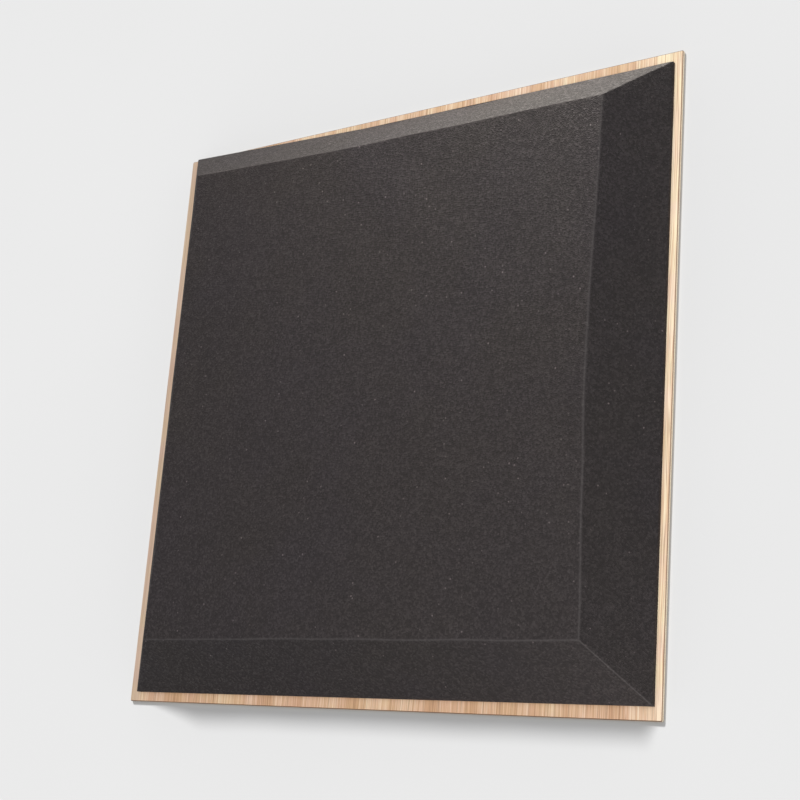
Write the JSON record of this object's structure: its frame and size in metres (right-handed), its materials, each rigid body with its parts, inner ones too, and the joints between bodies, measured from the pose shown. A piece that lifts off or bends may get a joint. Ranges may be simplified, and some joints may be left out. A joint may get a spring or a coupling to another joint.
{
  "type": "acoustic foam panel on plywood backing",
  "caption": "Square panel of charcoal acoustic foam with a flat front and wide bevelled sides, stuck on a thin plywood board that shows as a narrow rim round it.",
  "frame": {"origin": "centre of the board's underside", "axes": "+Z out of the foam's front, +Y towards the panel's upper edge, +X to the right seen from the front"},
  "size_m": [0.6, 0.6, 0.053],
  "materials": {
    "plywood": "bare sanded birch plywood",
    "foam": "matt open-cell foam with a fine cut surface"
  },
  "bodies": {
    "root": {"backing_board": "plywood", "foam_pad": "foam"}
  },
  "joints": []
}
